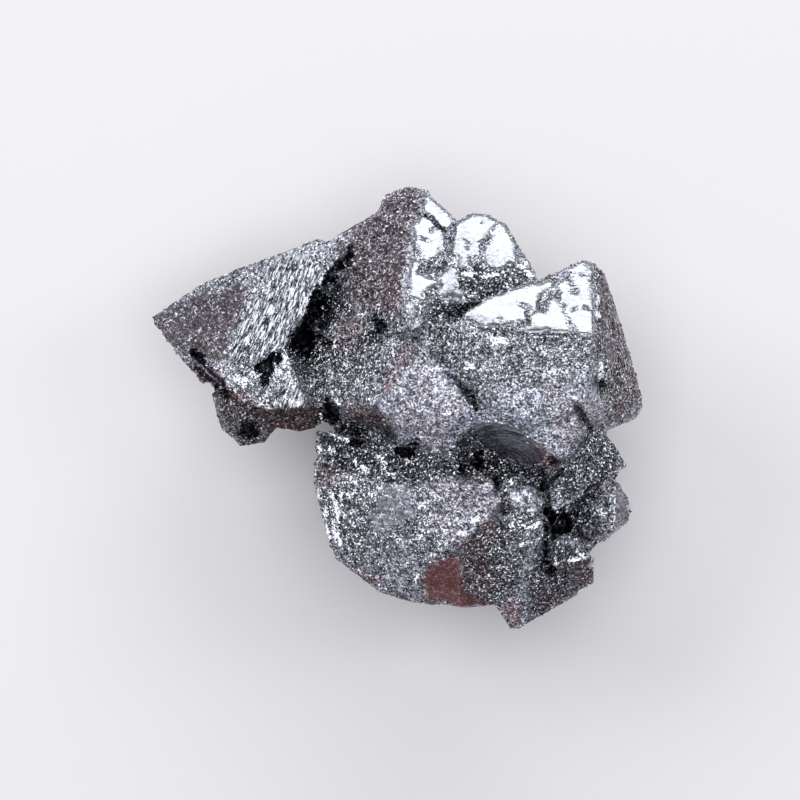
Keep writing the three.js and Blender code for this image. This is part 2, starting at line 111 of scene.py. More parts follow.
# What the faces look like from above: how strong each mask is, then the outlines it has, with their
# corners in mm from the left and from the bottom of the box.
faces = [
    # mirror-bright plates
    ({"plates": 1}, [(24.9, 39.6), (25.1, 38.9), (24.7, 38.2), (25.3, 37.9), (26, 37.2), (26.3, 36.6),
      (27, 36.4), (27.5, 37.2), (27.1, 37.9), (26.3, 38.5), (25.6, 39.2)],
     [(24.2, 37.2), (24.9, 37.6), (25.6, 37.2), (26, 36.5), (26.6, 36.3), (26.6, 35.5), (26.5, 34.4),
      (26.1, 34.6), (25.9, 33.9), (25.2, 33.5), (24.9, 33.7), (24.6, 34.6), (24.2, 35), (24.1, 36)],
     [(27.6, 35.9), (27.8, 36.8), (28.6, 37.1), (28.9, 37.5), (29.5, 37.8), (30.6, 37.6), (31.4, 37.1),
      (31.3, 36.6), (30.9, 36.4), (30.5, 35.9), (30.1, 35.3), (29.8, 35.2), (29.8, 33.9), (28.9, 33.8),
      (28.6, 33.2), (29.2, 33), (29.2, 32.7), (28.3, 33), (28.2, 33.7), (27.6, 34.1), (27.4, 34.4)],
     [(31.2, 36.2), (31.6, 37), (32.1, 36.6), (32.6, 35.7), (33, 34.9), (32.9, 34.2), (33.1, 33.4),
      (32.4, 33.3), (32, 32.8), (31, 32.8), (30.7, 33), (30.5, 34), (30.6, 34.8), (31, 35)],
     [(24, 33.5), (24.3, 33.3), (24.1, 32.4), (25, 32.1), (25.3, 31.9), (26.1, 31.6), (25.2, 31),
      (24.8, 30.6), (24.4, 30.1), (23.8, 30.2), (23.6, 30.5), (23.9, 31.2), (23.7, 31.8), (23.8, 32.7)],
     [(27, 32.8), (27.5, 32.8), (27.8, 32.3), (27.9, 31.5), (27.8, 30.8), (28.5, 30.7), (28.2, 30),
      (28, 29.6), (27.4, 29.6), (27, 30), (26.4, 30.1), (26.2, 30.9), (26.5, 31.2), (26.3, 32)],
     [(23.5, 29.8), (24, 29.5), (24, 28.8), (23.5, 28.8), (23.2, 29.3)],
     [(28.3, 28.6), (29, 29), (29.9, 29.7), (30.5, 30.1), (31.8, 30.4), (32.8, 30.9), (33.9, 31.2),
      (34.8, 31.3), (35.6, 31.4), (36.2, 31.7), (36.3, 31), (35.8, 30.8), (35, 30.3), (34.9, 29.4),
      (34.9, 28.9), (34.2, 28.7), (34, 28.1), (33, 28), (32, 27.7), (31.2, 27.7), (30.3, 27.5),
      (29.6, 27.8), (28.5, 28.3)],
     [(34.3, 28.5), (35.2, 28.9), (35.7, 28.8), (36.1, 29.5), (36.4, 30.2), (37, 29.6), (37.1, 29),
      (37.5, 28.5), (37.7, 27.8), (38, 27.3), (38, 26.9), (37, 27), (36.3, 27.1), (35.8, 27.4), (35.2, 27),
      (34.4, 27), (33.3, 27.2), (34.2, 27.6)],
     [(36.7, 31.2), (37.2, 31.6), (37.6, 31.7), (38, 31.2), (38.4, 31.4), (38.1, 32), (38, 32.7),
      (38.7, 33.2), (39.4, 33.4), (39.9, 33.1), (40, 32.4), (39.8, 31.7), (40.1, 31), (40.1, 30), (40, 29),
      (39.9, 28.2), (40, 27), (39.7, 26.6), (38.7, 26.9), (38.5, 27.3), (37.9, 28.2), (37.4, 28.8),
      (37.6, 29.4), (37.1, 29.7), (37.2, 30.6)]),
    # the ridge at the top, the wing and the lump under it
    ({"brown": 0.5, "dark": 0.7}, [(17, 34.6), (19.5, 37.2), (21.5, 39.3), (22.8, 40.4), (24.3, 40.3),
      (24.5, 38.4), (23.9, 37), (23.5, 35), (23.1, 33), (22.9, 31.2), (22.5, 29.6), (22.3, 28.6),
      (21, 28.8), (20, 28.9), (18.6, 29.6), (17.8, 31), (17.9, 33)]),
    ({"dark": 0.95, "dull": 0.5, "brown": 0.4}, [(0.2, 28.6), (3, 30.1), (7.8, 31.6), (9.2, 32.2),
      (8.4, 29.4), (7.4, 27.2), (6.6, 24.6), (4.2, 25), (2, 26.2)]),
    ({"dark": 0.95, "salt": 0.3, "brown": 0.5}, [(6.2, 22.6), (8, 21.2), (10.6, 20.2), (14.8, 20.3),
      (15.3, 17.8), (12, 16.9), (9, 16.4), (7, 17.8), (5.8, 20)]),
    ({"dark": 0.35}, [(7.6, 24), (11, 24.4), (13.4, 24.8), (14, 22.5), (12.5, 20.4), (9.4, 21.2)]),
    # the ledge between the plates, the right flank, the slab, the lower right and its tip
    ({"dark": 1, "salt": 1}, [(27.6, 32.9), (30, 33.3), (33.4, 33.1), (34.6, 32), (33, 30.9), (30.4, 29.9),
      (28.6, 28.8), (26.2, 28.4), (25.2, 29.2), (26.8, 30.8)]),
    ({"dark": 0.5, "salt": 0.85}, [(40.4, 32.2), (41.2, 31.4), (43, 27), (44.4, 22.6), (44.8, 20.6),
      (43.6, 19.4), (41.4, 19), (41.2, 22), (41.8, 25.6)]),
    ({"dark": 0.65, "salt": 0.75}, [(35.6, 14.4), (38.6, 15.8), (39.4, 17.6), (41, 18), (42.6, 17),
      (43.6, 15.4), (41.6, 14.2), (39.6, 12.4), (38, 12), (36.4, 12.6)]),
    ({"dark": 0.6, "salt": 0.7}, [(28.4, 7), (29.8, 9.2), (31.6, 10.4), (33.4, 9), (34, 6), (33.6, 3.2),
      (31, 2), (28.8, 2.4), (28.4, 4.6)]),
    ({"dark": 1, "salt": 0.5}, [(35.4, 9), (37, 8.4), (40, 6.8), (40.6, 5), (38, 2.2), (35.4, 0.8),
      (33.8, 2.4), (34.6, 5.6)]),
    # the hollow, the flecked band below it, a smooth rusty facet and a smooth bluish patch
    ({"dull": 1, "dark": 0.5}, [(29.3, 18.3), (29.8, 18.8), (31, 19.1), (32, 18.9), (33.2, 18.4),
      (34.2, 17.7), (35, 16.8), (35.8, 15.9), (35.4, 15.3), (34.2, 15.2), (32.9, 15.5), (31.6, 16),
      (30.7, 16.5), (29.8, 17.4)]),
    ({"dark": 1.1}, [(29.6, 18.2), (30.2, 18.8), (31, 18.9), (31.5, 18), (32.2, 17), (33.4, 16.2),
      (31.6, 15.9), (30.4, 16.4), (29.9, 17)]),
    ({"dark": 0.8, "brown": 0.35}, [(32.8, 16.6), (34.2, 17), (35.6, 16), (35.3, 15.3), (34, 15.3),
      (32.6, 15.8)]),
    ({"frost": 1.3}, [(29.2, 19), (30.3, 19.5), (31.8, 19.3), (33, 18.9), (34, 18.4), (34.8, 17.5),
      (35.5, 16.6), (35.9, 16.8), (35, 18.1), (34.2, 18.9), (33.1, 19.3), (31.9, 19.7), (30.3, 19.9),
      (29, 19.4)]),
    ({"dark": 0.75, "salt": 0.6}, [(15.1, 19.3), (15.7, 19.7), (18.6, 18.6), (21.8, 16.9), (24.2, 16.2),
      (27.8, 15.9), (29.9, 17), (31, 16), (33.5, 14.8), (35.6, 14.4), (35, 13.2), (30.9, 13.8),
      (27.8, 14.2), (24.4, 13), (20.8, 13.8), (18.3, 14.2), (15.3, 15)]),
    ({"brown": 1.8, "dull": 1}, [(25.2, 5.6), (26, 6.4), (27.2, 6.8), (28.4, 6.4), (28.2, 5.4), (28.2, 3.8),
      (29.6, 3.2), (30.6, 2.4), (28.2, 2), (26.8, 2.9), (25.2, 3.1), (25, 4.4)]),
    ({"frost": 0.7, "dull": 0.5}, [(20.6, 12.6), (21.4, 13.6), (23, 13.4), (24, 12.4), (23.6, 10.6),
      (22.2, 9.6), (20.2, 9.2), (20, 10.2), (20.8, 11.4)]),
    ({"dark": 1}, [(21.4, 16.6), (24.2, 16), (27.8, 15.8), (29.8, 16.6), (30.2, 14.6), (27.8, 14.2),
      (24.4, 13.6), (21.6, 14.6)]),
    ({"dark": 0.9}, [(15.1, 19.3), (18.6, 18.6), (21.8, 16.9), (21, 14.2), (18.3, 14.4), (15.3, 15.4)]),
    # pale lilac, etched or rubbed
    ({"frost": 0.9}, [(24, 40.3), (24.9, 39.9), (25.1, 38.8), (24.8, 38.2), (24.3, 38), (24.2, 37),
      (24, 35.4), (23.6, 34.8), (23.5, 33.2), (23.3, 31.8), (23.2, 30.4), (22.6, 30.4), (22.9, 31.8),
      (23.2, 33.6), (23.4, 35.6), (23.7, 37.2), (24.3, 38.8)],
     [(39.4, 21.4), (40.4, 22.4), (41, 21.8), (41.1, 20.4), (40.8, 19), (40.2, 18.6), (39.7, 19.4)]),
    ({"frost": 1.5}, [(24.2, 28.6), (24.9, 28.4), (25, 26.6), (24.6, 24.9), (23.8, 23.2), (23.2, 22.4),
      (22.4, 21.2), (21.6, 20.2), (21, 19.4), (20.2, 20), (20.4, 20.6), (21.2, 21.6), (22, 22.4),
      (22.6, 23.6), (23.3, 23.6), (24.2, 24.6), (23.9, 26.2), (24.1, 27.6)]),
    ({"frost": 1.1}, [(22.6, 22.6), (24.4, 24.4), (26.6, 24.6), (27.8, 22.8), (28.8, 21.2), (29.4, 20),
      (29.6, 18.9), (28.4, 17.6), (27.6, 16.4), (25.2, 16.2), (24.6, 16.6), (24.2, 17.6), (23.4, 17),
      (22.2, 16.8), (22, 18.2), (22.2, 19), (21.6, 19.6), (22.2, 20.8), (22.2, 21.8)]),
    ({"frost": 0.8}, [(28.6, 22.4), (29.8, 21.8), (31, 22.2), (33, 22), (35, 22.2), (37.4, 22.6),
      (38.6, 23.4), (39.4, 23.6), (39.6, 21.8), (38.6, 20.6), (38.4, 19.8), (37.4, 19.3), (35.4, 19),
      (34, 18.3), (32.8, 18.6), (31.4, 19.3), (30.2, 19.4), (30, 20.4), (29.2, 21.4)],
     [(37.6, 5.2), (38.4, 4.6), (38.7, 3.4), (38.2, 2.9), (37.6, 3.8)]),
    ({"frost": 1.8, "salt": 0.4}, [(34.1, 17.9), (35, 18.4), (36.2, 19.1), (37.8, 19.4), (38.6, 19),
      (39, 18.2), (38.6, 17), (38, 16), (37, 15.6), (36.2, 16), (35.4, 16.6), (34.8, 17.2)]),
    ({"frost": 1.4}, [(32.2, 12.4), (33, 13.3), (34.2, 13.2), (35.6, 12.2), (35, 11.6), (34.6, 10.8),
      (33.6, 11.2), (32.4, 11.6)]),
    ({"frost": 0.45, "dark": 0.35}, [(40.2, 11.4), (40.8, 12.6), (42.1, 12.6), (42.3, 11), (42, 9.4),
      (41.2, 8.9), (40.4, 9.4), (40.1, 10.2)]),
    ({"frost": 0.5, "dark": 0.35}, [(36.3, 8.6), (37.6, 8.7), (38.9, 8), (39.6, 6.9), (38.6, 6.3),
      (37, 6.1), (36.2, 6.8)]),
    ({"frost": 0.7, "brown": 0.2}, [(26.2, 13.6), (28, 14), (30.6, 13.9), (31.4, 13.2), (32, 12.2),
      (31.9, 10.9), (30.4, 10.6), (29.2, 10), (28.2, 8.9), (27, 8.8), (26, 9.6), (25.4, 11.2),
      (25.4, 12.4)]),
    ({"frost": 0.6}, [(20.4, 5.8), (21.6, 6.2), (22.2, 7.2), (23.6, 7.2), (24.4, 6), (23.8, 4.9),
      (22.6, 4.8), (21.6, 4.4), (20.6, 4.8)],
     [(9.6, 33.2), (12, 34.4), (14, 35.1), (16, 35.4), (17.2, 35.8), (17.6, 34.8), (16.6, 34), (14, 34.2),
      (12, 33.6), (10, 32.7)]),
    ({"frost": 0.7}, [(6.2, 24.4), (7.4, 24.6), (8.2, 23.4), (7.6, 22.4), (6.8, 22.6)],
     [(33.4, 5), (34.8, 4.8), (34.8, 2.4), (34, 1.6), (33.2, 2.4), (32.4, 3.4)]),
    ({"frost": 0.4}, [(30.7, 7.4), (32.9, 8.5), (35.5, 8.5), (36, 6.8), (35.8, 5.5), (37.8, 4.6),
      (38.6, 3.5), (36.7, 2.6), (34.9, 3.3), (34.2, 1.9), (32.9, 1.5), (31.8, 4.1)],
     [(0.3, 28.8), (2, 29.9), (4, 30.8), (4.2, 29), (4, 27.6), (2.4, 26.4), (1.2, 27.4)]),
    # rusty
    ({"brown": 0.7}, [(21.6, 32.6), (22.7, 32.8), (22.9, 31.2), (22.4, 28.8), (21.4, 28.9), (21.2, 30.6)],
     [(17, 28.2), (18.4, 28.6), (19.6, 28.4), (19, 27), (18.6, 25.4), (17.6, 25.2), (16.8, 26.6)],
     [(22.4, 25.4), (23.2, 26.2), (23.9, 26.3), (23.7, 25.2), (23.3, 24.3), (22.3, 24.2)],
     [(16.2, 22.6), (16.8, 23.6), (17, 23), (16.4, 22.1)],
     [(41.4, 30.5), (42.2, 29), (43.4, 25.5), (44.6, 21.8), (44.6, 20.6), (43.4, 19.6), (42, 19.4),
      (41.7, 21), (41.8, 24), (41.5, 27.5)],
     [(39.6, 9), (40.8, 8.8), (41.6, 8.7), (41, 8), (40, 7.4), (39.8, 8.2)]),
    ({"brown": 0.8}, [(21.2, 23), (22, 23.6), (22, 22.6), (21.3, 21.5), (20.8, 22.2)],
     [(28, 7.6), (29.4, 9), (30.2, 10.2), (31.8, 10.2), (31.9, 8.6), (30.6, 7.6), (31, 6.2), (31.8, 5),
      (31.6, 4.2), (30.4, 2.8), (28.6, 3.2), (28.6, 5.8)],
     [(34.8, 17), (35.6, 16.3), (36.6, 15.8), (37.6, 15.4), (37.2, 14.8), (36, 14.6), (35.2, 15.4)],
     [(34.9, 3.8), (36.6, 3.8), (38, 3), (36.6, 2), (35.2, 1.8)],
     [(31.6, 1.8), (32.6, 2.8), (33.6, 2.4), (33.4, 1), (33, 0.2)],
     [(19.2, 5.6), (20.4, 5), (21, 4.8), (20.2, 4), (19, 4.8)]),
    ({"brown": 1}, [(17.9, 20.9), (19.6, 20.3), (20.5, 19.8), (21.4, 18.8), (20.6, 18.2), (19.4, 18.6),
      (18.6, 19.4), (17.6, 20.2)]),
    ({"brown": 1.3}, [(6.2, 23.9), (6.6, 22.8), (8, 21.2), (9.6, 20.8), (10.6, 20.2), (12, 20.1),
      (13.6, 20.3), (14.6, 20.5), (15.2, 19.6), (15.1, 18), (13.4, 17.7), (11.8, 17.9), (10.8, 18.6),
      (9.6, 19.8), (8.4, 20.4), (7.2, 21.6), (6, 23.2)]),
    ({"brown": 0.9}, [(40.9, 31.8), (41.5, 31.4), (42, 29.4), (41.6, 28), (41.2, 27.8), (41, 29.5)],
     [(37.4, 5.6), (38.4, 6.2), (40.2, 6.2), (40.3, 4.4), (39.2, 3.6), (38.4, 4.4)]),
    ({"brown": 0.6}, [(41.3, 23), (41.8, 23.4), (42, 21.6), (41.6, 20), (41.2, 20.8)],
     [(14.7, 14.6), (15.4, 15.4), (16.8, 15.2), (17.2, 14.2), (16.2, 13.4), (14.7, 13.2)]),
    # smooth, with few grains
    ({"dull": 0.7, "dark": 0.45, "brown": 0.4}, [(42.3, 13), (42.9, 12.6), (43.5, 10.9), (43, 9.8),
      (42.2, 9.4), (42.5, 11.2)]),
    # painted shade, where it is hardly lit
    ({"dark": 0.75}, [(16.4, 32), (17.6, 31.4), (17.4, 29.4), (16.6, 27.8), (15.2, 27), (15, 25),
      (14.6, 23.4), (13.4, 24.6), (13.6, 26)],
     [(26.4, 25.6), (27.4, 25.4), (28.6, 23.6), (29.8, 21.6), (30.6, 20), (29.8, 19.6), (28.6, 21.2),
      (27.4, 22.8), (26.2, 24.2)]),
    ({"dark": 0.9}, [(19.8, 28), (20.4, 28.8), (21, 28.4), (21.6, 28), (21.6, 27.2), (21, 26.6),
      (20.2, 26.4)],
     [(30.3, 27.3), (31.2, 27.6), (32.2, 27.4), (33, 27), (31.6, 26.8), (30.6, 26.8)]),
    ({"dark": 0.8}, [(18.6, 26), (19.2, 26.4), (19.2, 25.4), (18.8, 24.8)],
     [(28.2, 17.6), (29.6, 18.4), (30.2, 17.2), (30.4, 16.2), (32.6, 15.9), (35, 15.9), (35.4, 15),
      (36.2, 14.4), (35, 13.6), (33.6, 13.8), (32.2, 14.2), (29.2, 14.2), (26.2, 14.6), (26.8, 15.6),
      (27.8, 16.4)],
     [(24.2, 14), (25.6, 14), (25.2, 13.4), (24.4, 13.3)]),
    ({"dark": 0.7}, [(38, 11.4), (39.6, 12.2), (40.4, 13.2), (41.6, 13.8), (41, 12.4), (40, 11.6),
      (40, 10.2), (40.2, 9), (39.4, 8.4), (38.8, 8.6), (38, 9), (38.6, 10.4)],
     [(38.6, 5.2), (39.4, 5), (39.9, 4.2), (39.2, 3.6), (38.4, 4.4)],
     [(21.4, 39.2), (22.8, 40.4), (24.2, 40.4), (24.4, 39.2), (24, 38), (22.8, 37.8), (22.6, 38.8)]),
    ({"dark": 0.6}, [(25, 33.2), (26.4, 33.8), (27, 33.6), (26.6, 32.8), (25.6, 32.2), (24.8, 32.6)],
     [(26.7, 35.8), (27.4, 36.2), (27.5, 35), (27.2, 34.2), (26.6, 34.2)],
     [(11.8, 19.9), (14.6, 20.2), (15.1, 19.4), (14.8, 18.2), (12.4, 18)],
     [(18, 18), (21.6, 18.2), (21.9, 17), (21.8, 16.2), (20.2, 16.4), (18.6, 16.6)],
     [(24.6, 31), (25.8, 31.4), (26.2, 30.4), (26, 29), (25, 29.4)],
     [(0.2, 28.2), (1.2, 27.8), (2.2, 26.4), (1.6, 25.8), (0.6, 27)]),
    ({"dark": 0.5}, [(24.6, 29), (26.4, 29.6), (27.4, 28.6), (27, 25.4), (26, 25.6), (25.4, 27.2)],
     [(41.2, 28), (42.2, 27), (43, 24), (42.2, 23.4), (41.4, 25.4)]),
    ({"dark": 0.8, "salt": 1}, [(40.2, 32.4), (41, 31.8), (41.4, 29), (41.5, 24.5), (41.3, 20.6),
      (40.6, 22), (40.3, 28)]),
    # dark ground strewn with bright flecks
    ({"salt": 0.7}, [(15, 15), (18.3, 14.2), (20, 13.6), (20.4, 11), (19.6, 8.6), (20.6, 6), (17.6, 6.6),
      (15.6, 9.6), (14.8, 12.4)],
     [(14, 24.6), (15.4, 27.4), (17.6, 28.4), (21, 28), (21.4, 25.6), (20.8, 23), (19.4, 20.6),
      (17.4, 20.6), (14.8, 21.2)],
     [(31.6, 13.6), (33, 13.8), (35.6, 12.4), (35.6, 9.6), (33.6, 8.8), (31.8, 10.4)]),
    ({"salt": 0.45}, [(28, 27.4), (30, 27.4), (33, 26.9), (36, 26.7), (40, 26.7), (40.6, 29), (40.2, 32),
      (41, 31.6), (41.8, 29), (41.4, 25.6), (40.4, 23.6), (39, 24.6), (34, 25.2), (29.6, 25.2),
      (27.4, 25.6)]),
    ({"salt": 0.6}, [(24.6, 29), (26.4, 28.6), (27.4, 27), (27, 24.8), (25.6, 25.4)],
     [(22.6, 29), (23.6, 31), (24.4, 33.4), (25, 33.2), (26.6, 33.8), (27.2, 35.6), (27.8, 33.4),
      (29.2, 32.6), (28.4, 31), (26.6, 30.2), (24.6, 28.6)]),
    # finely striated
    ({"threads": 1}, [(11.2, 34), (13.4, 34.2), (15.2, 33.4), (16, 32), (15.4, 31), (14.6, 29.8),
      (14.1, 28.2), (13.2, 27.2), (12.4, 25.6), (11.8, 25.3), (10.6, 24.6), (9.6, 24.2), (8.4, 24.6),
      (7, 24.8), (7.4, 26.6), (8, 28.4), (9.2, 30.2), (10.4, 31.6), (10.8, 33.2)],
     [(11.4, 22.2), (12.9, 23), (14, 21.6), (14.3, 20.4), (12.6, 20.2), (11.4, 20.3)]),
    # rounded off, with the gap between crystals filled
    ({"worn": 1}, [(26.8, 23.8), (28.4, 23.4), (30.2, 21), (30.4, 19), (29, 18.6), (27.8, 20.6),
      (26.8, 22.2)],
     [(24.6, 15), (31.4, 15), (31.8, 13), (24.6, 13)]),
    ({"worn": 0.3}, [(26.6, 33.6), (27.7, 33.6), (27.8, 29.4), (26.6, 29.4)]),
    # holes, with their depth in mm
    ({"pits": 1.7}, [(18.4, 34.7), (17.2, 33.4), (16.2, 32.1), (15.1, 30.8), (14.6, 29.8), (14.3, 28.6),
      (14.1, 28), (13.1, 27), (12.9, 26.3), (13.3, 25.5), (14.3, 25.3), (14.6, 26.2), (14.5, 27.4),
      (15.1, 28.2), (15.5, 29.6), (15.9, 31), (16.8, 32.4), (18.1, 34)]),
    ({"pits": 0.8}, [(12, 25.4), (10.9, 24.9), (10, 24.2), (9.6, 23.5), (10.3, 23.4), (10.7, 22.5),
      (11.1, 23.2), (11.2, 24.1), (11.7, 24.6)],
     [(18.3, 17.2), (19, 17.8), (19.5, 17.4), (19.2, 16.8), (18.8, 16.9)],
     [(8.4, 18.8), (9.4, 18.6), (9.9, 17.9), (9.2, 17.3), (8.3, 17.8)]),
    ({"pits": 1.2}, [(4, 25.4), (4.5, 25.2), (5.2, 24.1), (6, 22.9), (7.2, 21.6), (7, 21.3), (5.9, 22.6),
      (5, 22.8), (4.4, 23.6)],
     [(15.9, 20.8), (16.3, 20.7), (17, 20.2), (17.2, 19.4), (16.6, 18.9), (16.1, 19.2), (15.9, 20)],
     [(29.6, 15.9), (29.9, 16.1), (30.1, 15.6), (30.1, 14.9), (29.8, 14.8), (29.7, 15.3)]),
    ({"pits": 1}, [(22.6, 16.4), (23.2, 16.6), (23.8, 16.7), (24.1, 17.3), (24.4, 17.3), (24.2, 16.6),
      (23.6, 16), (22.8, 16)]),
    ({"pits": 0.6}, [(20.4, 28.4), (20.9, 28.5), (21.5, 27.5), (21.2, 26.9), (20.6, 27.2)],
     [(35.7, 6.2), (36.3, 5.9), (36.9, 5.6), (36.6, 5.3), (36.1, 5.4), (35.8, 5.7)]),
    ({"pits": 1.6}, [(36.1, 11.1), (36.9, 11), (37.7, 10.6), (38.2, 9.9), (38.1, 9.3), (37.5, 9),
      (36.7, 8.9), (36.3, 9.8)]),
    ({"pits": 0.7}, [(40.6, 22.4), (41, 22.8), (41.25, 22.4), (40.95, 22.05)]),
]

# Cracks: depth in mm, then points along them with the half width there.
cracks = [
    (0.4, [(27.7, 28.7, 0.1), (28.5, 29.1, 0.1), (29.6, 29.9, 0.05), (31, 30.6, 0.04)]),
    (0.5, [(38.3, 20.6, 0.08), (38.7, 20, 0.28), (39.2, 19.2, 0.24), (40, 18.3, 0.12)]),
    (0.45, [(26.8, 23.4, 0.05), (27.9, 22.6, 0.1), (28.7, 21.6, 0.14), (29.4, 20.6, 0.16),
            (29.8, 19.6, 0.1)]),
    (0.5, [(35.8, 13.2, 0.3), (36.6, 14, 0.18), (37.4, 14.8, 0.12)]),
    (0.6, [(36.1, 12.4, 0.1), (36, 9, 0.08), (35.9, 6.4, 0.06)]),
    (0.5, [(31.4, 13.8, 0.12), (31.7, 13, 0.12)]),
    (0.3, [(34.8, 26.2, 0.08), (36.9, 26.3, 0.1)]),
    (0.4, [(24.5, 37.8, 0.08), (25.6, 37.4, 0.1), (26.1, 36.8, 0.1), (26.8, 36.2, 0.1)]),
    (0.4, [(39.6, 12.6, 0.2), (40.6, 13.2, 0.15), (41.4, 13.7, 0.1)]),
    (0.3, [(34, 28.8, 0.08), (34.2, 27.8, 0.12)]),
]

# Small things: place, half width and half height in mm, and turn in degrees.
spots = {
    "gaps": [  # granular places in the plates
        (33.9, 29.3, 0.5, 0.18, -25), (35.3, 29.7, 0.2, 0.5, -10), (38.4, 30.7, 0.35, 0.22, 10),
        (39.3, 29.2, 0.35, 0.15, -20), (38.2, 29.1, 0.3, 0.12, 20), (28.7, 35.2, 0.3, 0.1, -40),
        (28.8, 34.6, 0.25, 0.12, 0), (25.6, 36.3, 0.2, 0.2, 0), (30.3, 37.1, 0.2, 0.1, 30),
        (38.9, 32.2, 0.3, 0.1, 0), (31.7, 28.2, 0.15, 0.12, 0), (25, 35.5, 0.35, 0.12, -20),
    ],
    "flashes": [  # flakes that catch the light together
        (15.5, 16.6, 0.3, 0.2, -40), (15.3, 16, 0.12, 0.4, 0), (16.5, 16.4, 0.3, 0.2, -30),
        (15.9, 18.6, 0.3, 0.15, -20), (16.5, 18, 0.4, 0.14, -40), (17.4, 17.5, 0.35, 0.12, -10),
        (18, 17.2, 0.3, 0.12, -30), (18.6, 15.3, 0.2, 0.2, 0), (19.5, 14.8, 0.4, 0.2, -10),
        (20.9, 15.8, 0.3, 0.1, 0), (21.2, 15.3, 0.2, 0.15, 0), (21.8, 14.5, 0.35, 0.12, -15),
        (23, 15.7, 0.5, 0.12, -35), (23.4, 15.4, 0.3, 0.2, -30), (15.3, 12.4, 0.12, 0.4, 15),
        (18.3, 12.5, 0.4, 0.2, 0), (16.6, 12.2, 0.15, 0.5, 10), (16.9, 11, 0.14, 1, 10),
        (17.3, 12.4, 0.15, 0.3, 0), (18.1, 14.1, 0.3, 0.12, -40), (16.1, 9.2, 0.14, 0.6, 8),
        (16.7, 9, 0.14, 0.9, 8), (17.1, 8.7, 0.12, 0.8, 10), (17.3, 7.9, 0.12, 0.3, 0),
        (15.9, 10.8, 0.2, 0.4, 0), (24.2, 4.9, 0.3, 0.12, 45), (24, 4.5, 0.12, 0.3, 0),
        (26.1, 12.2, 0.3, 0.2, 0), (28.2, 9.1, 0.5, 0.25, 10), (29.5, 10.3, 0.6, 0.2, 30),
        (27.9, 10.4, 0.3, 0.25, 0), (20.4, 9.9, 0.4, 0.12, 15), (21.8, 12.4, 0.3, 0.12, 0),
        (23.5, 6.2, 0.3, 0.15, 0), (20.2, 12.5, 0.3, 0.15, 0), (24.7, 11.6, 0.2, 0.6, -60),
        (24.9, 8.9, 0.7, 0.12, 25), (33.3, 12.3, 0.4, 0.15, -35), (34.6, 11, 0.4, 0.3, -20),
        (34.9, 9.6, 0.55, 0.18, 30), (33, 9.7, 0.4, 0.2, 20), (33.7, 7.9, 0.2, 0.2, 0),
        (39.2, 7, 0.5, 0.2, -45), (38.9, 6.6, 0.7, 0.16, 8), (36.7, 6.2, 0.4, 0.12, 10),
        (30.4, 13.6, 0.3, 0.15, -20), (32.8, 13.6, 0.3, 0.15, -40), (34, 12.8, 0.4, 0.12, -35),
        (30.1, 15.6, 0.1, 0.3, -30), (37.3, 14.8, 0.12, 0.25, -20), (40.9, 10.9, 0.12, 0.5, 0),
        (42.2, 11, 0.12, 1.1, 4), (30.7, 5, 0.2, 0.15, 0), (12.3, 24.6, 0.45, 0.6, 0),
        (11.7, 23.5, 0.5, 0.35, 0), (8.6, 22.6, 0.5, 0.4, 20), (9.6, 23.4, 0.5, 0.4, 0),
        (12.8, 21.8, 0.35, 1.2, -22), (12, 20.8, 0.25, 0.4, -20), (13.8, 21.1, 0.2, 0.5, -20),
        (15.3, 31.3, 0.35, 0.9, -30), (14.3, 29.6, 0.2, 1.2, -22), (8.6, 31.6, 0.35, 0.3, 0),
        (16.8, 26.2, 0.2, 0.35, -10), (16.4, 35, 0.2, 0.2, 0), (10.7, 20.4, 0.5, 0.2, -45),
        (13.2, 20.6, 0.5, 0.5, 0), (12.6, 23.2, 0.3, 0.6, -15), (7.9, 23, 0.4, 0.3, 30),
        (31.5, 26.3, 0.9, 0.35, -5), (28.9, 23.9, 0.6, 0.3, 0), (40.9, 23.6, 0.22, 0.8, 0),
        (36.4, 23.4, 0.3, 0.2, 0), (33.2, 21.2, 0.4, 0.2, 0), (34.3, 32.4, 0.5, 0.25, -30),
        (33.9, 33.2, 0.3, 0.4, -30), (31, 32.3, 0.8, 0.15, 10), (36.6, 31, 0.3, 0.3, 0),
        (40.6, 28.6, 0.3, 0.3, 0), (40.6, 30, 0.25, 0.5, 0), (28.7, 32.4, 0.5, 0.2, 0),
        (27.7, 33.7, 0.3, 0.3, 0), (21.4, 15, 0.15, 0.3, 0), (17.1, 20.8, 0.3, 0.3, 40),
    ],
}

striae = {  # fine parallel ridges on the wing
    "run": 68,  # degrees from +X
    "gap": 0.2, "length": 1.1,  # mm
}


def applyModifier(piece, kind, **settings):
    modifier = piece.modifiers.new(kind.title(), kind)
    for name, value in settings.items():
        setattr(modifier, name, value)
    bpy.context.view_layer.objects.active = piece
    bpy.ops.object.modifier_apply(modifier=modifier.name)


def newPiece(name, mesh):
    bpy.ops.object.select_all(action="DESELECT")
    piece = bpy.data.objects.new(name, mesh)
    bpy.context.collection.objects.link(piece)
    piece.select_set(True)
    bpy.context.view_layer.objects.active = piece
    return piece


def copyOfNode(node, name):
    piece = newPiece(name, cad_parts[node].data.copy())
    bpy.ops.object.mode_set(mode="EDIT")
    bpy.ops.mesh.select_all(action="SELECT")
    bpy.ops.mesh.remove_doubles(threshold=0.001 * mm)
    bpy.ops.object.mode_set(mode="OBJECT")
    piece.data.materials.clear()
    return piece


def vectors(items, name):  # one row for each point or normal
    flat = np.empty(len(items) * 3)
    items.foreach_get(name, flat)
    return flat.reshape(-1, 3)


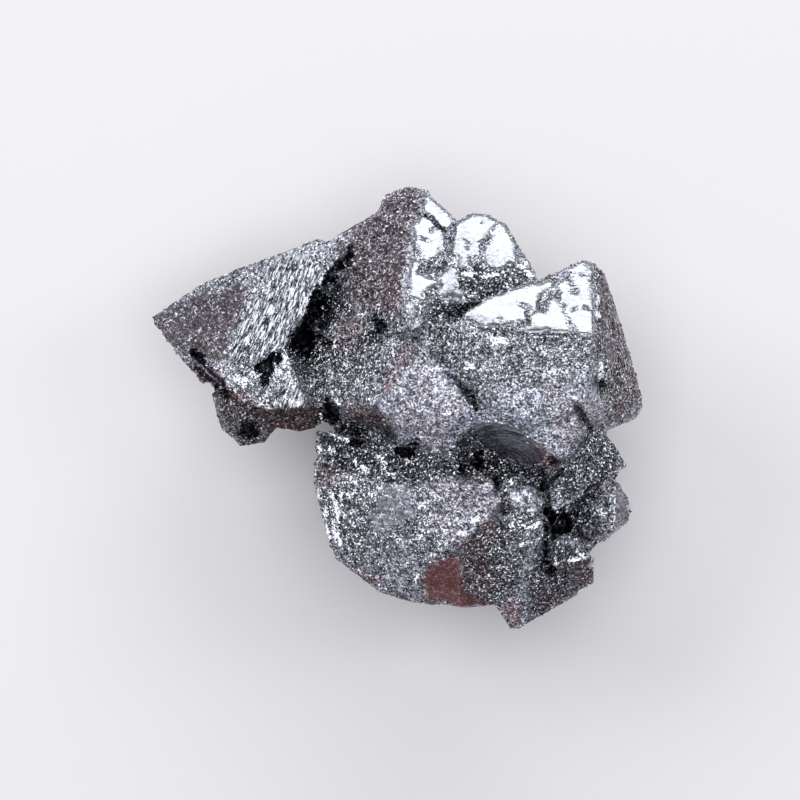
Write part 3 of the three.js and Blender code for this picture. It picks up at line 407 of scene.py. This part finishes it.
def averaged(piece, co, rounds, share=1):  # each point drawn toward the middle of its neighbours
    ends = np.empty(len(piece.data.edges) * 2, dtype=np.int64)
    piece.data.edges.foreach_get("vertices", ends)
    a, b = ends.reshape(-1, 2).T
    count = np.bincount(ends, minlength=len(co))[:, None]
    for _ in range(rounds):
        sums = [np.bincount(a, co[b, k], len(co)) + np.bincount(b, co[a, k], len(co)) for k in range(3)]
        co = co + (np.stack(sums, 1) / count - co) * share
    return co


offAxis = np.array(Euler((0.6, 0.9, 0.4)).to_matrix())  # keeps the noise from lining up with X and Y


def noiseAt(co, size, octaves=3, shift=0):  # about -1 to 1, with lumps of that size in mm
    return np.array([noise.fractal(Vector(p), 0.7, 2, octaves) for p in co @ offAxis / (size * mm) + shift])


def toSegment(x, y, start, end):  # how far off, and how far along from 0 to 1
    run = np.subtract(end[:2], start[:2])
    share = np.clip(((x - start[0]) * run[0] + (y - start[1]) * run[1]) / (run @ run), 0, 1)
    return np.hypot(x - start[0] - share * run[0], y - start[1] - share * run[1]), share


maskReach = 1.5  # mm past its outline that a mask may reach


def masked(co, shapes, inside, wander, soft):  # wander is how far, in mm, the edges stray
    mask = np.zeros(len(co))
    x, y = (co[:, 0] - low.x) / mm, (co[:, 1] - low.y) / mm
    for strength, corners in shapes:
        near = np.ones(len(co), dtype=bool)
        for value, ends in ((x, [c[0] for c in corners]), (y, [c[1] for c in corners])):
            near &= (value > min(ends) - maskReach) & (value < max(ends) + maskReach)
        depth = inside(x[near], y[near], corners) + wander[near]
        mask[near] = np.maximum(mask[near], strength * np.clip(depth / soft + 0.5, 0, 1))
    return mask


def outlined(co, name, wander, soft):
    shapes = [(strengths[name], corners) for strengths, *outlines in faces if name in strengths
              for corners in outlines]
    return masked(co, shapes, insideOutline, wander, soft)


def spotted(co, name, wander, soft):  # a spot is a shape with one corner, its middle
    return masked(co, [(1, [spot]) for spot in spots[name]], insideSpot, wander, soft)


def insideOutline(x, y, corners):
    gap, within = np.full(len(x), np.inf), np.zeros(len(x), dtype=bool)
    for start, end in zip(corners, corners[1:] + corners[:1]):
        gap = np.minimum(gap, toSegment(x, y, start, end)[0])
        if start[1] != end[1]:
            crossing = start[0] + (y - start[1]) * (end[0] - start[0]) / (end[1] - start[1])
            within ^= ((start[1] > y) != (end[1] > y)) & (x < crossing)
    return np.where(within, gap, -gap)


def insideCrack(x, y, points):
    depth = np.full(len(x), -np.inf)
    for start, end in zip(points, points[1:]):
        off, share = toSegment(x, y, start, end)
        depth = np.maximum(depth, start[2] + share * (end[2] - start[2]) - off)
    return depth


def insideSpot(x, y, corners):
    across, up, wide, tall, turn = corners[0]
    c, s = math.cos(math.radians(turn)), math.sin(math.radians(turn))
    reach = np.hypot(((x - across) * c + (y - up) * s) / wide, ((y - up) * c - (x - across) * s) / tall)
    return (1 - reach) * min(wide, tall)


def rising(values, start, end):  # 0 at start, 1 at end
    return np.clip((values - start) / (end - start), 0, 1)


def bending(piece, co, turned, rounds):  # in mm, above 0 in hollows and below 0 on ridges
    return ((averaged(piece, co, rounds) - co) * turned).sum(1) / mm


def keepGroup(piece, name, weights, most=20):  # weights in steps, that many at most
    group = piece.vertex_groups.new(name=name)
    steps = np.round(weights * most).astype(int)
    for step in range(1, most + 1):
        group.add(np.flatnonzero(steps == step).tolist(), step / most, "REPLACE")


def makeSkin():
    piece = copyOfNode("hematite_cluster", "hematiteCrystals")
    applyModifier(piece, "REMESH", mode="VOXEL", voxel_size=skin["voxel"] * mm)
    applyModifier(piece, "SMOOTH", factor=0.5, iterations=skin["rounding"])
    co, turned = vectors(piece.data.vertices, "co"), vectors(piece.data.vertex_normals, "vector")
    print("remeshed skin:", len(co), "vertices")
    worn = outlined(co, "worn", np.zeros(len(co)), 1.2) * rising(turned[:, 2], -0.3, 0.1)
    co = averaged(piece, co, skin["filling"], worn[:, None])
    tips = rising(-bending(piece, co, turned, 12), *skin["tips"])
    co += (averaged(piece, co, skin["tipRounding"]) - co) * tips[:, None]
    least, most = co.min(0), co.max(0)  # the rounding wore the ends off, so it's drawn out to the box again
    margin = np.array([skin["margin"] * mm] * 3)
    under = margin * (1, 1, 0)  # none below, because it stands on the floor
    co = (co - least) / (most - least) * (np.array(high) - margin - np.array(low) - under)
    co += np.array(low) + under
    piece.data.vertices.foreach_set("co", co.ravel())
    turned = vectors(piece.data.vertex_normals, "vector")
    broad, coarse, fine, speck = (noiseAt(co, *skin[name]) for name in ("broad", "coarse", "fine", "speck"))
    wander = 0.35 * coarse + 0.3 * fine + 0.15 * speck
    sharp = 0.1 * fine + 0.12 * speck
    bend = bending(piece, co, turned, 40)
    up = rising(turned[:, 2], 0.05, 0.3)
    base = rising(co[:, 2] / mm, 0.15, 0.6)  # 0 at the floor

    plates = outlined(co, "plates", 0.6 * sharp + 0.05, 0.6) * up
    plates *= 1 - spotted(co, "gaps", 0.6 * sharp, 0.4)
    split = masked(co, cracks, insideCrack, 0.6 * sharp, 0.2) * up * base
    pits = np.maximum(outlined(co, "pits", 3 * sharp - 0.08, 0.5) * up * base, split)
    # where pits and cracks are deep: painted shade goes there, and plates and grains stay out
    deepPitShade = rising(pits, 0.1, 0.5)
    plates *= 1 - deepPitShade
    etched = 1 - plates
    halo = outlined(co, "plates", sharp + 0.45, 0.3) * rising(fine + speck, 0.15, 0.45)
    frost = outlined(co, "frost", wander, 0.9) * up * rising(fine + speck, -0.9, -0.1)
    frost = np.maximum(frost, rising(-bend, 0.1, 0.3) * rising(coarse, -0.2, 0.5) * 0.7) * etched
    flank = 1 - rising(turned[:, 2], 0.1, 0.5)
    brown = outlined(co, "brown", 1.2 * wander, 1) * (0.75 + 0.25 * rising(fine, -0.3, 0.3))
    brown = np.maximum(brown, 0.8 * flank * rising(broad + 0.5 * coarse, -0.2, 0.5)) * etched
    dull = outlined(co, "dull", 0.25 * wander, 0.25) * etched
    # darker tone and painted shade from the outlines, and painted shade in the hollows
    dark = outlined(co, "dark", 0.8 * wander, 0.6)
    dark = np.maximum(dark, 0.45 * rising(bend, 0.2, 0.45)) * etched
    salt = outlined(co, "salt", wander, 1.2)
    salt = np.maximum(salt, 0.5 * rising(coarse + 0.5 * fine, 0.1, 0.7)) * etched * (1 - dull) * base
    threads = outlined(co, "threads", wander, 0.8) * up * etched * (1 - deepPitShade)
    flash = np.maximum(spotted(co, "flashes", 0.5 * sharp + 0.02, 0.2), 0.4 * halo)
    flash *= up * etched * (1 - deepPitShade) * base

    co = co - turned * (skin["proud"] * etched * base * mm)[:, None]
    co[:, 2] -= pits * base * mm
    piece.data.vertices.foreach_set("co", co.ravel())
    piece.data.update()
    rough = etched ** 3 * (1 - 0.85 * dull) * (1 - 0.6 * threads) * base
    keepGroup(piece, "rough", rough * (1 - 0.8 * rising(-bend, 0.2, 0.45)))
    keepGroup(piece, "hidden", (1 - rising(turned[:, 2], -0.1, 0.2)) * base)
    for name, kind in (("lump", "CLOUDS"), ("grain", "VORONOI")):
        relief = bpy.data.textures.new(name, kind)
        relief.noise_scale = skin[name + "Size"] * mm
        applyModifier(piece, "DISPLACE", texture=relief, texture_coords="LOCAL", mid_level=0,
                      strength=-skin[name + "Depth"] * mm, vertex_group="rough")
    crust = etched * (1 - 0.8 * dull) * base * (1 - 0.7 * deepPitShade) * (0.05 + 0.95 * up)
    crust *= 1 - rising(-bend, 0.12, 0.3)
    masks = {
        "plates": plates, "frost": frost, "brown": brown, "dull": dull, "dark": dark, "deepPitShade": deepPitShade,
        "salt": salt, "threads": threads, "flash": flash,
        "coarse": crust * (1 - 0.8 * frost) * (1 - threads),
        "fine": crust * np.maximum(frost, 0.3) * (1 - threads),
    }
    for name, weights in masks.items():
        attribute = piece.data.attributes.new(name, "FLOAT", "POINT")
        attribute.data.foreach_set("value", weights.astype(np.float32))
    print("masks:", ", ".join(f"{name} {weights.mean():.2f}" for name, weights in masks.items()))
    return piece


def triangles(piece):
    return sum(len(p.vertices) - 2 for p in piece.data.polygons)


def thinned(piece):  # few triangles are needed where it faces the floor
    count = triangles(piece)
    if count > skin["triangles"]:
        applyModifier(piece, "DECIMATE", ratio=skin["triangles"] / count, vertex_group="hidden",
                      vertex_group_factor=1)
    print("roughened skin:", triangles(piece), "triangles")


# grains: small crystals that stand on the skin, each turned its own way

level = (0.02, 0.08, 1)  # the way flecks face, which mirrors the overhead softbox
grainKinds = {  # how many a square mm, width in mm from and to, height as a share of it, tilt in degrees
    "coarseGrains": {"where": "coarse", "density": 6, "width": (0.1, 0.34), "tall": 0.5, "tilt": 30,
                     "sides": 4},
    "fineGrains": {"where": "fine", "density": 8, "width": (0.07, 0.2), "tall": 0.5, "tilt": 26,
                   "sides": 3},
    "threadGrains": {"where": "threads", "density": 7, "width": (0.12, 0.24), "tall": 0.6, "tilt": 16,
                     "sides": 4, "long": 6},
    "flashGrains": {"where": "flash", "density": 9, "width": (0.12, 0.34), "tall": 0.4, "tilt": 9,
                    "sides": 4, "way": level},
}


def grainTree(name, kind, seed):
    tree = bpy.data.node_groups.new(name, "GeometryNodeTree")
    add = partial(addNode, tree)
    for side in ("INPUT", "OUTPUT"):
        tree.interface.new_socket(name="Geometry", in_out=side, socket_type="NodeSocketGeometry")
    where = add("GeometryNodeInputNamedAttribute", {"Name": kind["where"]}, data_type="FLOAT")
    density = add("ShaderNodeMath", {0: where, 1: kind["density"] / mm ** 2}, operation="MULTIPLY")
    spread = add("GeometryNodeDistributePointsOnFaces",
                 {"Mesh": add("NodeGroupInput"), "Density": density, "Seed": seed})
    crystal = add("GeometryNodeMeshCone", {"Vertices": kind["sides"], "Radius Top": 0.6,
                                           "Radius Bottom": 1.1, "Depth": 2 * kind["tall"]})
    sunk = add("GeometryNodeTransform", {"Geometry": crystal, "Translation": (0, 0, -1.45 * kind["tall"])})
    # cubed, so that small ones are far more common than large ones
    small, large = ((w * mm / 2) ** (1 / 3) for w in kind["width"])
    root = add("FunctionNodeRandomValue", {2: small, 3: large, "Seed": seed + 1})
    size = add("ShaderNodeMath", {0: root, 1: 3}, operation="POWER")
    longest = kind.get("long", 1.8)
    shape = add("FunctionNodeRandomValue", {0: (longest / 1.8, 0.8, 0.8), 1: (longest, 1.1, 1.1),
                                            "Seed": seed + 2}, data_type="FLOAT_VECTOR")
    scale = add("ShaderNodeVectorMath", {0: shape, "Scale": size}, operation="SCALE")
    tilt = math.radians(kind["tilt"])
    nod, twist = (0.1, 0.15) if "long" in kind else (tilt, math.pi)
    facing = spread.outputs["Rotation"]
    if "long" in kind:
        run = math.radians(striae["run"])
        along = (math.cos(run), math.sin(run), 0)
        facing = add("FunctionNodeAlignRotationToVector", {"Rotation": facing, "Vector": along},
                     axis="X", pivot_axis="Z")
    if "way" in kind:
        facing = add("FunctionNodeAlignRotationToVector", {"Vector": kind["way"]}, axis="Z")
    turn = add("FunctionNodeRandomValue", {0: (-tilt, -nod, -twist), 1: (tilt, nod, twist),
                                           "Seed": seed + 3}, data_type="FLOAT_VECTOR")
    turn = add("FunctionNodeEulerToRotation", {"Euler": turn})
    facing = add("FunctionNodeRotateRotation", {"Rotation": facing, "Rotate By": turn},
                 rotation_space="LOCAL")
    placed = add("GeometryNodeInstanceOnPoints",
                 {"Points": spread, "Instance": sunk, "Rotation": facing, "Scale": scale})
    shade = add("FunctionNodeRandomValue", {2: 0, 3: 1, "Seed": seed + 4})
    placed = add("GeometryNodeStoreNamedAttribute", {"Geometry": placed, "Name": "shade", "Value": shade},
                 data_type="FLOAT", domain="INSTANCE")
    add("NodeGroupOutput", {0: add("GeometryNodeRealizeInstances", {"Geometry": placed})})
    return tree


def growGrains(onto):
    pieces = []
    for number, (name, kind) in enumerate(grainKinds.items()):
        piece = newPiece(name, onto.data.copy())
        applyModifier(piece, "NODES", node_group=grainTree(name, kind, 10 * number))
        bpy.ops.object.shade_flat()
        print(name + ":", triangles(piece), "triangles")
        pieces.append(piece)
    return pieces


hematite = {
    "grey": "#9b9ea9",  # steel grey with a little blue
    "plate": "#969aa1",
    # painted highlight: the near-white of glinting flecks, on top of their normals turned toward the
    # softboxes
    "paintedGlint": "#e6e9f0",
    "lilac": "#b9b3c2",
    "bluish": "#abb1c3",
    "brown": "#7a4546",
    # painted shade in the pits and cracks
    "deepPitShade": "#3c3d45",
    "darkestToneAndShade": 0.28,  # how bright it is where the dark mask is strongest: darker tone and painted shade
    "flakeMm": 0.3, "fineMm": 0.14, "scratchMm": 0.15,  # how wide they are
    "noises": [  # how many lumps to a mm, detail, roughness and distortion
        (1 / 0.4, 3, 0.6, 0.4),  # folds
        (4.5, 3, 0.7, 0),  # specks
        (2.5, 4, 0.5, 0),  # how crooked the flakes are
        (0.3, 3, 0.5, 0),  # hue
        (0.8, 7, 0.75, 0),  # patches
        (1 / 0.18, 2, 0.7, 0),  # grit
        (1.8, 9, 0.8, 0),  # clouds on smooth faces
        (0.9, 5, 0.5, 0),  # hair cracks
    ],
    "scratched": (31.8, 13.6, 5.7),  # the middle of the scratches in the hollow, and how far out they go
    "foldDepth": 0.22,  # mm
    "towardKey": (0.04, 0.53, 0.85),  # the way striae face, which mirrors the long softbox upward
}


def hematiteMaterial(name, grains):
    # specular hematite: an iron oxide that mirrors like dark steel, in flakes that each face their own way
    material = bpy.data.materials.new(name)
    material.use_nodes = True
    tree = material.node_tree
    tree.nodes.clear()
    add = partial(addNode, tree)
    where = add("ShaderNodeTexCoord").outputs["Object"]
    inMm = add("ShaderNodeVectorMath", {0: where, "Scale": 1 / mm}, operation="SCALE")
    plates, frost, brown, dark, deepPitShade, dull, salt, threads, flash = (
        add("ShaderNodeAttribute", attribute_name=mask).outputs["Fac"]
        for mask in ("plates", "frost", "brown", "dark", "deepPitShade", "dull", "salt", "threads", "flash"))

    folds, specks, bends, hue, patches, grit, clouds, hairs = (
        add("ShaderNodeTexNoise", {"Vector": inMm, "Scale": scale, "Detail": detail, "Roughness": roughness,
                                   "Distortion": distortion})
        for scale, detail, roughness, distortion in hematite["noises"])

    # flakes with crooked edges in two sizes
    bent, crooked = (
        add("ShaderNodeVectorMath", {0: bends.outputs["Color"], 1: (reach,) * 3, 2: inMm},
            operation="MULTIPLY_ADD")
        for reach in (0.2, 0.8))
    flakes, fine = (
        add("ShaderNodeTexVoronoi", {"Vector": crooked, "Scale": 1 / hematite[size]}).outputs["Color"]
        for size in ("flakeMm", "fineMm"))
    large, small = (add("ShaderNodeSeparateColor", {"Color": cells}) for cells in (flakes, fine))
    shade = add("ShaderNodeAttribute", attribute_name="shade").outputs["Fac"] if grains else small.outputs[0]

    # striae: stripes drawn out along their run
    run = math.radians(striae["run"])
    stripes = []
    for place, way, size in ((bent, (math.sin(run), -math.cos(run), 0), striae["gap"]),
                             (inMm, (math.cos(run), math.sin(run), 0), striae["length"])):
        far = add("ShaderNodeVectorMath", {0: place, 1: way}, operation="DOT_PRODUCT").outputs["Value"]
        stripes.append(add("ShaderNodeMath", {0: far, 1: size}, operation="DIVIDE"))
    stripes = add("ShaderNodeCombineXYZ", {"X": stripes[0], "Y": stripes[1]})
    threading = add("ShaderNodeTexNoise", {"Vector": stripes, "Scale": 1, "Detail": 3})
    stripes = add("ShaderNodeMapRange", {"Value": threading, "From Min": 0.5, "From Max": 0.53})
    stripes = add("ShaderNodeMath", {0: threads, 1: stripes}, operation="MULTIPLY")

    # plates, hollows and flecks get ragged edges
    ragged = add("ShaderNodeMath", {0: specks, 1: 1.6, 2: -0.8}, operation="MULTIPLY_ADD")
    plates, deepPitShade = (add("ShaderNodeMath", {0: mask, 1: ragged}, operation="ADD") for mask in (plates, deepPitShade))
    flecks = specks
    for value, weight in ((small.outputs[1], 0.3), (flash, 0.26), (salt, 0.1), (dark, -0.03)):
        flecks = add("ShaderNodeMath", {0: value, 1: weight, 2: flecks}, operation="MULTIPLY_ADD")
    plates, deepPitShade, flecks = (
        add("ShaderNodeMapRange", {"Value": value, "From Min": start, "From Max": end})
        for value, start, end in ((plates, 0.3, 0.38), (deepPitShade, 0.5, 0.8), (flecks, 0.86, 0.885)))
    clear = add("ShaderNodeMapRange", {"Value": dull, "To Min": 1, "To Max": 0.2})
    flecks = add("ShaderNodeMath", {0: flecks, 1: clear}, operation="MULTIPLY")
    flash = add("ShaderNodeMath", {0: flecks, 1: stripes}, operation="MAXIMUM")
    lit = add("ShaderNodeMath", {0: plates, 1: flash}, operation="MAXIMUM")

    # colour; the brightest grains stay free of rust and of the painted shade
    hue = add("ShaderNodeMapRange", {"Value": hue, "From Min": 0.42, "From Max": 0.58})
    pale = add("ShaderNodeMix", {0: hue, 6: linear(hematite["lilac"]), 7: linear(hematite["bluish"])},
               data_type="RGBA")
    colour = add("ShaderNodeMix", {0: frost, 6: linear(hematite["grey"]), 7: pale}, data_type="RGBA")
    brightSpared = add("ShaderNodeMapRange", {"Value": shade, "From Min": 0.74, "From Max": 0.84, "To Min": 1,
                                       "To Max": 0.4})
    rust = add("ShaderNodeMath", {0: brown, 1: brightSpared}, operation="MULTIPLY")
    # rust, the plate colour where lit, a near-white painted highlight on the flecks, and painted shade in
    # the deep pits
    for share, tint in ((rust, "brown"), (lit, "plate"), (flecks, "paintedGlint"), (deepPitShade, "deepPitShade")):
        colour = add("ShaderNodeMix", {0: share, 6: colour, 7: linear(hematite[tint])}, data_type="RGBA")

    # brightness from flake to flake: what drives it, over which range, and between which factors
    grit = add("ShaderNodeMapRange", {"Value": grit, "From Min": 0.38, "From Max": 0.62, "To Min": 0.1,
                                      "To Max": 2})
    swings = [(shade, 0, 0.8, 0.35, 1.2), (shade, 0.8, 0.95, 1, 2.3), (large.outputs[0], 0, 1, 0.75, 1.25),
              (patches, 0.38, 0.62, 0.5, 1.4), (frost, 1, 2, 1, 2), (salt, 0, 1, 1, 0.5)]
    if not grains:
        swings.append((folds, 0.36, 0.62, 0.5, 1.45))
    amount = grit
    for value, start, end, least, most in swings:
        factor = add("ShaderNodeMapRange", {"Value": value, "From Min": start, "From Max": end,
                                            "To Min": least, "To Max": most})
        amount = add("ShaderNodeMath", {0: amount, 1: factor}, operation="MULTIPLY")

    # plates and smooth faces are cloudy instead, with hair cracks, and scratches round the hollow
    smooth = add("ShaderNodeMapRange", {"Value": clouds, "From Min": 0.36, "From Max": 0.58, "To Min": 0.7,
                                        "To Max": 1.08})
    hairs = add("ShaderNodeMath", {0: hairs, 1: 0.5}, operation="SUBTRACT")
    hairs = add("ShaderNodeMath", {0: hairs}, operation="ABSOLUTE")
    hairs = add("ShaderNodeMapRange", {"Value": hairs, "From Max": 0.012, "To Min": 0.7, "To Max": 1})
    middle = [-corner / mm - place for corner, place in zip(low.xy, hematite["scratched"])] + [0]
    away = add("ShaderNodeVectorMath", {0: inMm, 1: (1, 1, 0), 2: middle}, operation="MULTIPLY_ADD")
    away = add("ShaderNodeVectorMath", {0: away}, operation="LENGTH").outputs["Value"]
    rings = add("ShaderNodeMath", {0: away, 1: 1 / hematite["scratchMm"]}, operation="MULTIPLY")
    rings = add("ShaderNodeCombineXYZ", {"X": rings, "Y": patches})
    rings = add("ShaderNodeTexNoise", {"Vector": rings, "Scale": 1, "Detail": 2})
    rings = add("ShaderNodeMapRange", {"Value": rings, "From Min": 0.4, "From Max": 0.65, "To Min": 0.6,
                                       "To Max": 1.7})
    near = add("ShaderNodeMath", {0: away, 1: hematite["scratched"][2]}, operation="LESS_THAN")
    rings = add("ShaderNodeMix", {0: near, 2: 1, 3: rings}, data_type="FLOAT")
    marks = add("ShaderNodeMath", {0: grit, 1: 0.25, 2: 0.75}, operation="MULTIPLY_ADD")
    marks = add("ShaderNodeMath", {0: rings, 1: marks}, operation="MULTIPLY")
    marks = add("ShaderNodeMix", {0: dull, 2: 1, 3: marks}, data_type="FLOAT")
    for factor in (hairs, marks):
        smooth = add("ShaderNodeMath", {0: smooth, 1: factor}, operation="MULTIPLY")
    even = add("ShaderNodeMath", {0: dull, 1: 0.85}, operation="MULTIPLY")
    even = add("ShaderNodeMath", {0: even, 1: lit}, operation="MAXIMUM")
    amount = add("ShaderNodeMix", {0: even, 2: amount, 3: smooth}, data_type="FLOAT")

    # it is darker between the striae, and under the dark mask, which is partly darker tone and partly
    # painted shade
    # painted shade in the grooves between the striae
    between = add("ShaderNodeMath", {0: threads, 1: stripes}, operation="SUBTRACT")
    toneAndShade = add("ShaderNodeMix", {0: lit, 2: dark, 3: 0}, data_type="FLOAT")
    toneAndShade = add("ShaderNodeMath", {0: toneAndShade, 1: brightSpared}, operation="MULTIPLY")
    for share, least in ((between, 0.45), (toneAndShade, hematite["darkestToneAndShade"])):
        factor = add("ShaderNodeMapRange", {"Value": share, "To Min": 1, "To Max": least})
        amount = add("ShaderNodeMath", {0: amount, 1: factor}, operation="MULTIPLY")
    colour = add("ShaderNodeVectorMath", {0: colour, "Scale": amount}, operation="SCALE")

    rough = add("ShaderNodeMapRange", {"Value": frost, "To Min": 0.25, "To Max": 0.42})
    for share, value in ((brown, 0.5), (plates, 0.2)):
        rough = add("ShaderNodeMix", {0: share, 2: rough, 3: value}, data_type="FLOAT")
    metal = add("ShaderNodeMath", {0: brown, 1: frost}, operation="MAXIMUM")
    metal = add("ShaderNodeMapRange", {"Value": metal, "To Min": 1, "To Max": 0.5})
    metal = add("ShaderNodeMix", {0: flecks, 2: metal, 3: 0.9}, data_type="FLOAT")
    sockets = {"Base Color": colour, "Roughness": rough, "Metallic": metal}
    if not grains:
        tilt = add("ShaderNodeMix", {0: 0.5, 6: flakes, 7: fine}, data_type="RGBA")
        tilt = add("ShaderNodeVectorMath", {0: tilt, 1: (0.5, 0.5, 0.5)}, operation="SUBTRACT")
        flat = add("ShaderNodeMath", {0: dull, 1: lit}, operation="MAXIMUM")
        much, strength = (add("ShaderNodeMapRange", {"Value": flat, "To Min": most, "To Max": least})
                          for most, least in ((0.7, 0.06), (1, 0.12)))
        tilt = add("ShaderNodeVectorMath", {0: tilt, "Scale": much}, operation="SCALE")
        facing = add("ShaderNodeNewGeometry").outputs["Normal"]
        for share, way in ((stripes, hematite["towardKey"]), (flecks, level)):
            facing = add("ShaderNodeMix", {0: share, 4: facing, 5: way}, data_type="VECTOR")
        facing = add("ShaderNodeVectorMath", {0: facing, 1: tilt}, operation="ADD")
        facing = add("ShaderNodeVectorMath", {0: facing}, operation="NORMALIZE")
        height = add("ShaderNodeMix", {0: threads, 2: folds, 3: threading}, data_type="FLOAT")
        sockets["Normal"] = add("ShaderNodeBump", {"Height": height, "Strength": strength, "Normal": facing,
                                                   "Distance": hematite["foldDepth"] * mm})
    shader = add("ShaderNodeBsdfPrincipled", sockets)
    add("ShaderNodeOutputMaterial", {"Surface": shader})
    return material


crystals = makeSkin()
thinned(crystals)
grains = growGrains(crystals)
crystals.data.materials.append(hematiteMaterial("naturalSpecularHematite", False))
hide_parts("hematite_cluster")
grainMaterial = hematiteMaterial("hematiteMicrocrystals", True)
for piece in grains:
    piece.data.materials.clear()
    piece.data.materials.append(grainMaterial)
for piece in [crystals] + grains:
    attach(piece, "root")
print("finished pieces:", 1 + len(grains))

# floor and light

studio = {
    "floor": "#efedf0", "floorWidth": 3, "floorRoughness": 0.8,
    "sky": "#f0f2f8", "skyStrength": 0.3,  # what lights the stone, and below what the camera sees
    "backdrop": "#f0f0f3",
    "lights": [  # name, way it comes from, distance and size in metres, brightness
        ("longSoftbox", (0.08, 0.90, 0.44), 0.9, 1.1, 0.3, 3.1),
        ("overheadSoftbox", (0.05, 0.0, 1.0), 1.1, 0.95, 0.95, 1.5),
        ("leftSoftbox", (-0.70, 0.42, 0.58), 1.0, 0.45, 0.5, 3.1),
        ("rightSoftbox", (0.75, 0.2, 0.63), 1.0, 0.25, 0.4, 2.6),
    ],
    "wattsPerSize": 4,  # a lamp's watts spread over its area
}


def makeStudio():
    bpy.ops.mesh.primitive_plane_add(size=studio["floorWidth"])
    floor = bpy.context.object
    floor.name = "paleFloor"
    material = bpy.data.materials.new("matteWhiteLaminate")
    material.use_nodes = True
    shader = material.node_tree.nodes["Principled BSDF"]
    shader.inputs["Base Color"].default_value = linear(studio["floor"])
    shader.inputs["Roughness"].default_value = studio["floorRoughness"]
    floor.data.materials.append(material)
    for name, way, distance, wide, tall, brightness in studio["lights"]:
        way = Vector(way).normalized()
        bpy.ops.object.light_add(type="AREA", location=way * distance)
        light = bpy.context.object
        light.name = name
        light.rotation_euler = way.to_track_quat("Z", "Y").to_euler()
        light.data.shape = "RECTANGLE"
        light.data.size = wide
        light.data.size_y = tall
        light.data.energy = brightness * wide * tall * studio["wattsPerSize"]
    world = bpy.data.worlds.new("studioWorld")
    bpy.context.scene.world = world
    world.use_nodes = True
    world.node_tree.nodes.clear()
    add = partial(addNode, world.node_tree)
    sky = add("ShaderNodeBackground", {"Color": linear(studio["sky"]), "Strength": studio["skyStrength"]})
    backdrop = add("ShaderNodeBackground", {"Color": linear(studio["backdrop"]), "Strength": 1})
    seen = add("ShaderNodeLightPath").outputs["Is Camera Ray"]
    add("ShaderNodeOutputWorld", {"Surface": add("ShaderNodeMixShader", {0: seen, 1: sky, 2: backdrop})})


makeStudio()
bpy.context.scene.view_settings.view_transform = "Standard"
print("studio:", len(studio["lights"]), "softboxes")
